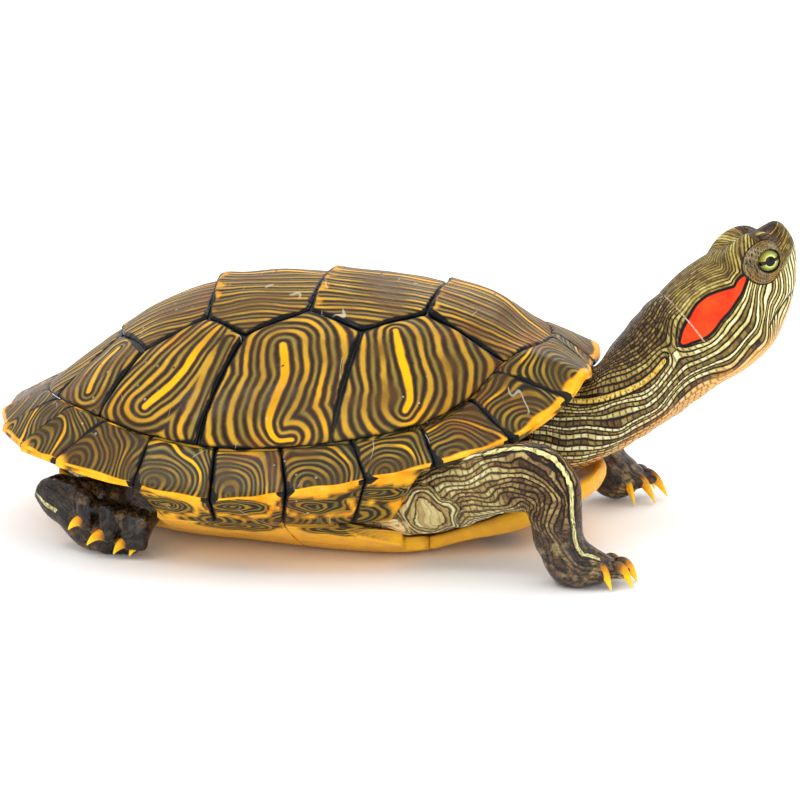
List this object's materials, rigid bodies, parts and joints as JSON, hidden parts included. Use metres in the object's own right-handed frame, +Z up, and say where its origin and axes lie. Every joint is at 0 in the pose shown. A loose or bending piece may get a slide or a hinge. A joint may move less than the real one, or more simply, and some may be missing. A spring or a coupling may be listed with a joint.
{
  "type": "red-eared slider turtle",
  "caption": "Still life-size turtle with a domed, keeled shell of horny shields, raised neck and head with red ear patches, four clawed legs and a short tail.",
  "frame": {"origin": "on the flat under the breastplate, at the middle of the shell's length and width", "axes": "+X towards the head, +Y the animal's left, +Z up from the floor"},
  "size_m": [0.2078, 0.1222, 0.08],
  "materials": {
    "shield": "glossy horn, dark brown with olive-yellow whorls",
    "rim": "glossy horn, brown with yellow whorls and an orange-yellow edge",
    "belly": "glossy horn, yellow with dark ringed blotches",
    "skin": "damp scaly skin, dark olive-brown with cream-yellow stripes",
    "eye": "wet eye, green-yellow iris with a dark bar"
  },
  "bodies": {
    "root": {"nuchal": "rim", "vertebral_1": "shield", "vertebral_2": "shield", "vertebral_3": "shield", "vertebral_4": "shield", "vertebral_5": "shield", "costal_left_1": "shield", "costal_left_2": "shield", "costal_left_3": "shield", "costal_left_4": "shield", "marginal_left_1": "rim", "marginal_left_2": "rim", "marginal_left_3": "rim", "marginal_left_4": "rim", "marginal_left_5": "rim", "marginal_left_6": "rim", "marginal_left_7": "rim", "marginal_left_8": "rim", "marginal_left_9": "rim", "marginal_left_10": "rim", "marginal_left_11": "rim", "marginal_left_12": "rim", "costal_right_1": "shield", "costal_right_2": "shield", "costal_right_3": "shield", "costal_right_4": "shield", "marginal_right_1": "rim", "marginal_right_2": "rim", "marginal_right_3": "rim", "marginal_right_4": "rim", "marginal_right_5": "rim", "marginal_right_6": "rim", "marginal_right_7": "rim", "marginal_right_8": "rim", "marginal_right_9": "rim", "marginal_right_10": "rim", "marginal_right_11": "rim", "marginal_right_12": "rim", "plastron_gular": "belly", "plastron_humeral": "belly", "plastron_pectoral": "belly", "plastron_abdominal": "belly", "plastron_femoral": "belly", "plastron_anal": "belly", "trunk": "skin", "neck": "skin", "head": "skin", "lower_jaw": "skin", "eye_left": "eye", "eye_right": "eye", "tail": "skin", "foreleg_left": "skin", "foreleg_right": "skin", "hindleg_left": "skin", "hindleg_right": "skin"}
  },
  "joints": []
}
